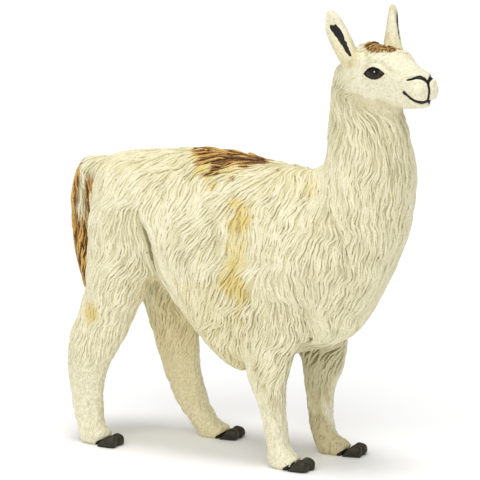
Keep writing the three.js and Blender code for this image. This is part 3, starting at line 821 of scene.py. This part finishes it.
def make_coat(name, skin, roots, rings, size, stray, lift, material, unwrap):
    locks = grow_locks(skin, roots, rings, size, stray, lift)
    mesh = mesh_of(name, locks["points"], locks["faces"])
    lay_patches(mesh, locks, unwrap)
    _, corners = skin.drop(locks["roots"])
    wool = skin.at(skin.length, corners)
    owner = np.repeat(skin.solid[corners[:, 0]], locks["per_lock"])
    set_attribute(mesh, "brown", brown_share(locks["points"], owner))
    set_attribute(mesh, "yellow", yellow_share(locks["points"], owner))
    set_attribute(mesh, "wool", np.repeat(wool, locks["per_lock"]))
    # each lock's own random tone, added to the wash and painted shade of its place
    own_tone = random.normal(0, 0.16, len(wool)) * mix(0.4, 1.0, wool)
    wash_and_shade = wash_and_shade_share(locks["points"], owner) + np.repeat(own_tone, locks["per_lock"])
    set_attribute(mesh, "wash_and_shade", np.clip(wash_and_shade, 0, 0.9))
    set_attribute(mesh, "crest", locks["crest"])
    set_attribute(mesh, "strand", locks["strand"])
    set_attribute(mesh, "number", locks["strand"][:, 2])
    piece_of(name, mesh, material)


# ---------------------------------------- materials
def paint(red, green, blue):
    """A colour given as it looks on a screen, 0 to 255."""
    def linear(c):
        c /= 255
        return c / 12.92 if c <= 0.04045 else ((c + 0.055) / 1.055) ** 2.4
    return (linear(red), linear(green), linear(blue), 1.0)


CREAM = paint(250, 244, 216)
CREAM_MID = paint(230, 223, 187)
# deep cream of the wash, also painted shade
CREAM_WASH_AND_SHADE = paint(190, 182, 140)
SPECK = paint(120, 112, 84)
# painted shadow in the crease behind the belly's hanging wool and under the chest
DEEP_SHADOW = paint(112, 102, 62)
# painted shade on short hair under the jaw and chest and on the forelegs' inner sides
SHORT_SHADE = paint(206, 193, 148)
SHORT_CREAM = paint(245, 240, 214)
# short hair's wash, also painted shade
SHORT_WASH_AND_SHADE = paint(226, 219, 186)
GOLD = paint(230, 190, 110)
BROWN = paint(188, 136, 62)
BROWN_WASH = paint(84, 44, 4)
YELLOW = paint(228, 205, 114)
YELLOW_WASH = paint(184, 154, 72)
INK = paint(20, 15, 9)
SOLE_PAINT = paint(40, 36, 24)


class Nodes:
    """A material's node tree, built from expressions."""

    def __init__(self, name):
        self.material = bpy.data.materials.new(name)
        self.material.use_nodes = True
        self.tree = self.material.node_tree
        self.shader = self.tree.nodes["Principled BSDF"]

    def node(self, kind, inputs=(), **settings):
        made = self.tree.nodes.new(kind)
        for key, value in settings.items():
            setattr(made, key, value)
        for key, value in dict(inputs).items():
            self.feed(made.inputs[key], value)
        return made

    def feed(self, socket, value):
        if isinstance(value, bpy.types.NodeSocket):
            self.tree.links.new(value, socket)
        else:
            socket.default_value = value

    def attribute(self, name, output="Fac"):
        return self.node("ShaderNodeAttribute", attribute_name=name).outputs[output]

    def math(self, operation, a, b):
        return self.node("ShaderNodeMath", {0: a, 1: b}, operation=operation).outputs[0]

    def between(self, value, low, high, to_low=0.0, to_high=1.0):
        inputs = {"Value": value, "From Min": low, "From Max": high, "To Min": to_low, "To Max": to_high}
        return self.node("ShaderNodeMapRange", inputs, interpolation_type="SMOOTHSTEP").outputs[0]

    def blend(self, share, a, b):
        made = self.node("ShaderNodeMix", data_type="RGBA")
        self.feed(made.inputs[0], share)
        self.feed(made.inputs[6], a)
        self.feed(made.inputs[7], b)
        return made.outputs[2]

    def noise(self, vector, scale, detail=2.0, roughness=0.5):
        inputs = {"Vector": vector, "Scale": scale, "Detail": detail, "Roughness": roughness}
        return self.node("ShaderNodeTexNoise", inputs).outputs["Fac"]

    def scaled(self, vector, by):
        return self.node("ShaderNodeVectorMath", {0: vector, 1: by}, operation="MULTIPLY").outputs[0]

    def bump(self, height, strength, distance):
        inputs = {"Height": height, "Strength": strength, "Distance": distance}
        return self.node("ShaderNodeBump", inputs).outputs["Normal"]

    def place(self):
        """The place on the object in millimetres."""
        where = self.node("ShaderNodeTexCoord").outputs["Object"]
        return self.scaled(where, (1 / MM, 1 / MM, 1 / MM))

    def shaded(self, inputs):
        """The material, with these inputs on its shader."""
        for key, value in inputs.items():
            self.feed(self.shader.inputs[key], value)
        return self.material


def painted_hair(name, on_skin):
    """Cream vinyl with a wash in the grooves, painted shade where the wash and shade share is high,
    brown and yellow markings and, on the skin, ink lines.
    """
    n = Nodes(name)
    place = n.place()
    fine = n.noise(place, 1.1, 3.0)
    crest = n.attribute("crest")
    wool = n.attribute("wool")
    wash_and_shade = n.attribute("wash_and_shade")
    unsure = n.math("MULTIPLY", n.math("SUBTRACT", fine, 0.5), 0.6)
    high = n.math("ADD", crest, unsure)
    washed = n.between(high, 0.1, 0.7)
    light = n.blend(n.between(high, 0.55, 0.95), CREAM_MID, CREAM)
    # the wash and painted shade darken the cream
    light = n.blend(wash_and_shade, light, CREAM_MID)
    deep = n.blend(wash_and_shade, CREAM_MID, CREAM_WASH_AND_SHADE)
    cream = n.blend(washed, deep, light)
    # painted shadow where the wash and painted shade run deepest
    cream = n.blend(n.between(wash_and_shade, 0.86, 1.0, 0.0, 0.85), cream, DEEP_SHADOW)
    short = n.blend(n.between(fine, 0.3, 0.6), SHORT_WASH_AND_SHADE, SHORT_CREAM)
    short = n.blend(n.math("MULTIPLY", wash_and_shade, 0.6), short, SHORT_WASH_AND_SHADE)
    # painted shade on short hair where it runs deep
    short = n.blend(n.between(wash_and_shade, 0.55, 1.0, 0.0, 0.9), short, SHORT_SHADE)
    # dark strokes where the wash and painted shade run deep
    strokes = n.between(n.noise(n.scaled(place, (1.5, 1.5, 0.4)), 1.0), 0.46, 0.36)
    short = n.blend(n.math("MULTIPLY", strokes, n.between(wash_and_shade, 0.5, 1.0, 0.0, 0.45)), short, SPECK)
    base = n.blend(wool, short, cream)
    yellow = n.blend(washed, YELLOW_WASH, YELLOW)
    base = n.blend(n.math("MULTIPLY", n.attribute("yellow"), 0.85), base, yellow)
    number = n.attribute("number")
    strands = n.node("ShaderNodeTexWhiteNoise", {"W": number}, noise_dimensions="1D").outputs["Value"]
    brown = n.blend(n.between(strands, 0.15, 0.95), BROWN, GOLD)
    brown = n.blend(n.between(wash_and_shade, 0.35, 0.8, 0.0, 0.3), brown, BROWN_WASH)
    brown = n.blend(washed, BROWN_WASH, brown)
    brown = n.blend(n.between(strands, 0.46, 0.24, 0.0, 0.88), brown, BROWN_WASH)
    base = n.blend(n.attribute("brown"), base, brown)
    specks = n.node("ShaderNodeTexVoronoi", {"Vector": place, "Scale": 0.5}).outputs["Distance"]
    speck = n.math("MULTIPLY", n.between(specks, 0.2, 0.12), n.between(high, 0.6, 0.2))
    base = n.blend(n.math("MULTIPLY", n.math("MULTIPLY", speck, wool), 0.6), base, SPECK)
    grain = n.noise(place, 2.8, 2.0, 0.7)
    settled = n.blend(n.attribute("brown"), CREAM_WASH_AND_SHADE, BROWN_WASH)
    base = n.blend(n.between(grain, 0.5, 0.3, 0.0, 0.55), base, settled)
    if on_skin:
        ink = n.attribute("ink")
        wobble = n.math("MULTIPLY", n.math("SUBTRACT", fine, 0.5), 0.3)
        edge = n.between(n.math("ADD", ink, wobble), 0.06, -0.06)
        up = n.node("ShaderNodeSeparateXYZ", {0: place}).outputs[2]
        base = n.blend(edge, base, n.blend(n.between(up, 5.0, 6.0), SOLE_PAINT, INK))
        height = n.noise(place, 2.0, 3.0, 0.6)
    else:
        strand = n.attribute("strand", "Vector")
        height = n.noise(n.scaled(strand, (4.5, 0.55, 1.0)), 1.0, 2.0)
    return n.shaded({
        "Base Color": base,
        "Roughness": n.between(fine, 0.2, 0.8, 0.5, 0.68),
        "Normal": n.bump(height, 0.35, 0.25 * MM),
        "Specular IOR Level": 0.35,
    })


def painted_nail():
    n = Nodes("painted_nail")
    place = n.place()
    streaks = n.noise(n.scaled(place, (1.0, 0.4, 1.6)), 1.4, 4.0)
    base = n.blend(streaks, paint(16, 14, 8), paint(68, 62, 45))
    return n.shaded({
        "Base Color": base,
        "Roughness": n.between(streaks, 0.3, 0.7, 0.38, 0.55),
        "Normal": n.bump(streaks, 0.3, 0.2 * MM),
        "Specular IOR Level": 0.3,
    })


def painted_eye():
    n = Nodes("painted_eye")
    mottled = n.noise(n.place(), 1.6, 3.0)
    base = n.blend(n.between(mottled, 0.5, 0.68), paint(24, 16, 10), paint(70, 60, 44))
    rim = n.between(n.attribute("from_middle"), 0.8, 0.95)
    base = n.blend(rim, base, paint(16, 12, 8))
    # a painted highlight near the top of the eye
    base = n.blend(n.between(n.attribute("glint"), 0.26, 0.18), base, paint(240, 236, 226))
    return n.shaded({
        "Base Color": base,
        "Roughness": n.between(mottled, 0.3, 0.7, 0.3, 0.4),
        "Specular IOR Level": 0.25,
    })


# ---------------------------------------- eyes and nails
EYE_THICK = 1.12


def make_eye(name, side, material):
    """A dark almond under the lids."""
    work = bmesh.new()
    bmesh.ops.create_uvsphere(work, u_segments=40, v_segments=24, radius=1.0)
    mesh = bpy.data.meshes.new("eye_" + name)
    work.to_mesh(mesh)
    work.free()
    ball = read(mesh.vertices, "co", 3).astype(float)
    turn = side * EYE_TURN
    along, out, up = ball[:, 0] * EYE["long"], ball[:, 1] * EYE_THICK, ball[:, 2] * EYE["high"]
    own = np.stack([
        EYE["forward"] + along * math.cos(turn) + out * math.sin(turn),
        side * EYE["side"] - along * math.sin(turn) + out * math.cos(turn),
        EYE["up"] + up,
    ], 1)
    move_to(mesh, from_head(own))
    mesh.shade_smooth()
    set_attribute(mesh, "from_middle", np.hypot(ball[:, 0], ball[:, 2]))
    set_attribute(mesh, "glint", np.hypot(along - 0.5, up - 0.55))
    piece_of("eyeball_" + name, mesh, material, ["eye_" + name])


def make_nail(toe, material):
    """A toe's nail with its facets smoothed away, flat under the sole."""
    mesh = remeshed(swollen([f"toe_{toe}"], 0.0), NAIL_VOXEL)
    points, mean = points_of(mesh), neighbour_mean(mesh)
    points = evened(points, mean, 14, 0.8)
    move_to(mesh, points)
    points += normals_of(mesh) * 0.12
    points[:, 2] = np.maximum(points[:, 2], NAIL_HEIGHT)
    move_to(mesh, points)
    mesh.shade_smooth()
    piece_of("nail_" + toe, mesh, material, [f"toe_{toe}"])


# ---------------------------------------- dressing the figure
FAR = 5.0   # a distance that is outside every painted line
# Each ear's root, its height, and the share of its height that the stripe takes.
EARS = {"left": ((-0.6, 7.5, 5.0), 11.6, 0.85), "right": ((-1.2, 6.5, 5.0), 10.8, 0.66)}
EAR_OPENS = math.radians(36)
EAR_LEAN = 4.6


def in_ear(points, name, side):
    """Distance outside the black stripe down the inside of an ear."""
    root, height, top = EARS[name]
    forward, left, up = (to_head(points) * (1, side, 1) - root).T
    ahead = forward * math.cos(EAR_OPENS) + left * math.sin(EAR_OPENS)
    across = left * math.cos(EAR_OPENS) - forward * math.sin(EAR_OPENS)
    t = up / height
    ragged = 0.09 * swell(points * (1, 1, 0.3), 0.8, 31)
    half = np.interp(t / top, (0.0, 0.35, 0.7, 0.9, 1.0), (0.42, 0.72, 1.05, 1.05, 0.6))
    middle = EAR_LEAN * t + mix(-0.35, 0.95, t)
    beyond = np.maximum(t - top, -0.02 - t) * height
    stripe = np.maximum(np.abs(across - middle) - half, beyond) + ragged
    return np.where(ahead > -0.6, stripe, FAR)


def from_nails(points):
    """Distance outside the dark paint that runs back from each nail, furthest along the sole."""
    outside = np.full(len(points), FAR)
    low = np.flatnonzero(points[:, 2] < 5)
    for toe in TOES:
        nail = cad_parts[f"toe_{toe}"].data
        tree = tree_of(points_of(nail), triangles_of(nail))
        away = np.array([tree.find_nearest(point)[3] for point in points[low].tolist()])
        outside[low] = np.minimum(outside[low], away)
    return outside - mix(1.3, 0.45, ramp(points[:, 2], 0.5, 2.6))


def ink_distance(mesh, points):
    """Distance outside the painted black lines, in millimetres, negative on them."""
    own = folded(points)
    face = own[:, 0] > 3
    lid = np.abs(from_eye(own) - 0.02) - 0.2
    lines = np.where(face, np.minimum(distance_to_lines(own, lines_on(mesh)), lid), FAR)
    ears = [in_ear(points, name, side) for name, side in (("left", 1), ("right", -1))]
    return np.where(points[:, 2] > HEAD_ABOVE, np.minimum.reduce([lines, *ears]), from_nails(points))


def dress_skin(mesh):
    sculpt_head(mesh)
    points = points_of(mesh)
    solid, _ = nearest_solid(points)
    mean = neighbour_mean(mesh)
    length = evened(wool_length(points, solid), mean, 8)
    set_attribute(mesh, "wool", length)
    set_attribute(mesh, "crest", mix(0.45, 0.28, length))
    set_attribute(mesh, "brown", brown_share(points, solid))
    set_attribute(mesh, "yellow", yellow_share(points, solid))
    set_attribute(mesh, "wash_and_shade", np.clip(wash_and_shade_share(points, solid), 0, 1))
    set_attribute(mesh, "ink", ink_distance(mesh, points))


skin_mesh = make_skin_mesh()
dress_skin(skin_mesh)
skin_material = painted_hair("painted_skin", on_skin=True)
coat_material = painted_hair("painted_coat", on_skin=False)
piece_of("skin", skin_mesh, skin_material, FLESH)

skin = Skin(skin_mesh)
unwrap = Unwrap(skin_mesh)
ROOT_TRIES = 120000
roots = spread_roots(skin, ROOT_TRIES, across=(0.62, 0.6), along=(1.3, 2.1))
behind, marked = behind_hem(roots)
roots = roots[(np.abs(behind - 0.9) > 1.0) | (marked < 0.3)]   # the crease behind the hem stays bare
_, root_corners = skin.drop(roots)
root_solid = skin.solid[root_corners[:, 0]]
long_wool = skin.at(skin.length, root_corners) > 0.2
root_head = to_head(roots)
right = roots[:, 1] < 0
rear = roots[:, 0] < -10

on_trunk, on_head, on_tail = (is_part(root_solid, name) for name in ("trunk", "head", "tail"))
on_legs = is_part(root_solid, *FORELEGS, *HIND_LEGS)
on_neck = is_part(root_solid, "neck") | on_head & long_wool
on_saddle = (saddle_reach(roots) < 1.0) & (roots[:, 2] > BACK_ABOVE) & on_trunk
on_body = on_trunk & ~on_saddle
on_crown = (from_crown(root_head) < 1.05) & (root_head[:, 2] > CROWN_ABOVE) & on_head
on_cheek = on_head & ~long_wool & ~on_crown & (root_head[:, 0] < 12) & (from_eye(folded(roots)) > 1.6)

# Each kind of lock: its rings; its length, half width and height, each where the hair is short and
# where the wool is long; how far it strays from the lie and lifts off the skin; and its slot.
WOOL = (8, ((2.2, 9.3), (0.26, 0.42), (0.1, 0.42)), 0.09, 0.0, "painted_wool")
SHIN = (4, ((2.8, 4.2), (0.3, 0.3), (0.16, 0.24)), 0.3, 0.0, "painted_wool")
CHEEK = (3, ((1.5, 2.2), (0.24, 0.24), (0.04, 0.12)), 0.3, 0.0, "painted_hair")
SADDLE = (9, ((7.5, 7.5), (0.34, 0.34), (0.55, 0.55)), 0.12, 0.08, "painted_wool")
TAIL = (9, ((10.0, 10.0), (0.38, 0.38), (0.5, 0.5)), 0.1, 0.0, "painted_tail")
FORELOCK = (5, ((2.6, 2.6), (0.25, 0.25), (0.43, 0.43)), 0.3, 0.0, "painted_hair")

COATS = {
    "coat_neck_right": (on_neck & right, WOOL),
    "coat_neck_left": (on_neck & ~right, WOOL),
    "coat_flank_right": (on_body & right & ~rear, WOOL),
    "coat_flank_left": (on_body & ~right & ~rear, WOOL),
    "coat_rump_right": (on_body & right & rear, WOOL),
    "coat_rump_left": (on_body & ~right & rear, WOOL),
    "coat_legs": (on_legs & long_wool, WOOL),
    "coat_shins": (on_legs & ~long_wool & (roots[:, 2] > 3), SHIN),
    "coat_cheeks": (on_cheek, CHEEK),
    "coat_saddle": (on_saddle, SADDLE),
    "coat_tail": (on_tail, TAIL),
    "coat_forelock": (on_crown, FORELOCK),
}
for name, (here, (rings, size, stray, lift, slot)) in COATS.items():
    make_coat(name, skin, roots[here], rings, size, stray, lift, coat_material, unwrap)

eye_material = painted_eye()
make_eye("left", 1, eye_material)
make_eye("right", -1, eye_material)
nail_material = painted_nail()
for toe in TOES:
    make_nail(toe, nail_material)


# ---------------------------------------- floor, light and camera
FLOOR_REACH = 20.0


def make_floor():
    mesh = bpy.data.meshes.new("floor")
    corners = [(-1, -1), (1, -1), (1, 1), (-1, 1)]
    mesh.from_pydata([(x * FLOOR_REACH, y * FLOOR_REACH, 0) for x, y in corners], [], [(0, 1, 2, 3)])
    floor = new_object("floor", mesh)
    white = {"Base Color": (0.99, 0.99, 0.99, 1.0), "Roughness": 0.9}
    mesh.materials.append(Nodes("white_floor").shaded(white))


def seen_from(azimuth, rise):
    """The way out from the figure, in degrees: azimuth 0 is ahead of its face, and rise is upward."""
    azimuth, rise = math.radians(azimuth), math.radians(rise)
    level = math.cos(rise)
    return Vector((math.sin(azimuth) * level, -math.cos(azimuth) * level, math.sin(rise)))


def make_sun(name, azimuth, rise, softness, strength):
    """A soft sun, seen from the figure at an azimuth and rise: it lights the floor evenly."""
    lamp = bpy.data.lights.new(name, "SUN")
    lamp.angle = math.radians(softness)
    lamp.energy = strength
    holder = new_object(name, lamp)
    holder.rotation_euler = seen_from(azimuth, rise).to_track_quat("Z", "Y").to_euler()


CAMERA_AZIMUTH, CAMERA_RISE = -60.5, 9
CAMERA_DISTANCE, CAMERA_LENS, SENSOR = 0.56, 168, 36
AIM = (-0.0042, MIDDLE_FORWARD * MM, 0.055)


def make_camera():
    back = seen_from(CAMERA_AZIMUTH, CAMERA_RISE)
    data = bpy.data.cameras.new("camera")
    data.lens, data.sensor_width = CAMERA_LENS, SENSOR
    data.clip_start, data.clip_end = 0.01, 20
    camera = new_object("camera", data)
    camera.location = Vector(AIM) + back * CAMERA_DISTANCE
    camera.rotation_euler = back.to_track_quat("Z", "Y").to_euler()
    bpy.context.scene.camera = camera


def light_scene():
    scene = bpy.context.scene
    scene.view_settings.view_transform = "Standard"
    world = bpy.data.worlds.new("studio")
    world.use_nodes = True
    background = world.node_tree.nodes["Background"]
    background.inputs["Color"].default_value = (1.0, 1.0, 1.0, 1.0)
    background.inputs["Strength"].default_value = 0.4
    scene.world = world
    make_sun("key", azimuth=-78, rise=42, softness=50, strength=1.25)
    make_sun("top", azimuth=-40, rise=86, softness=22, strength=1.45)


make_floor()
make_camera()
light_scene()
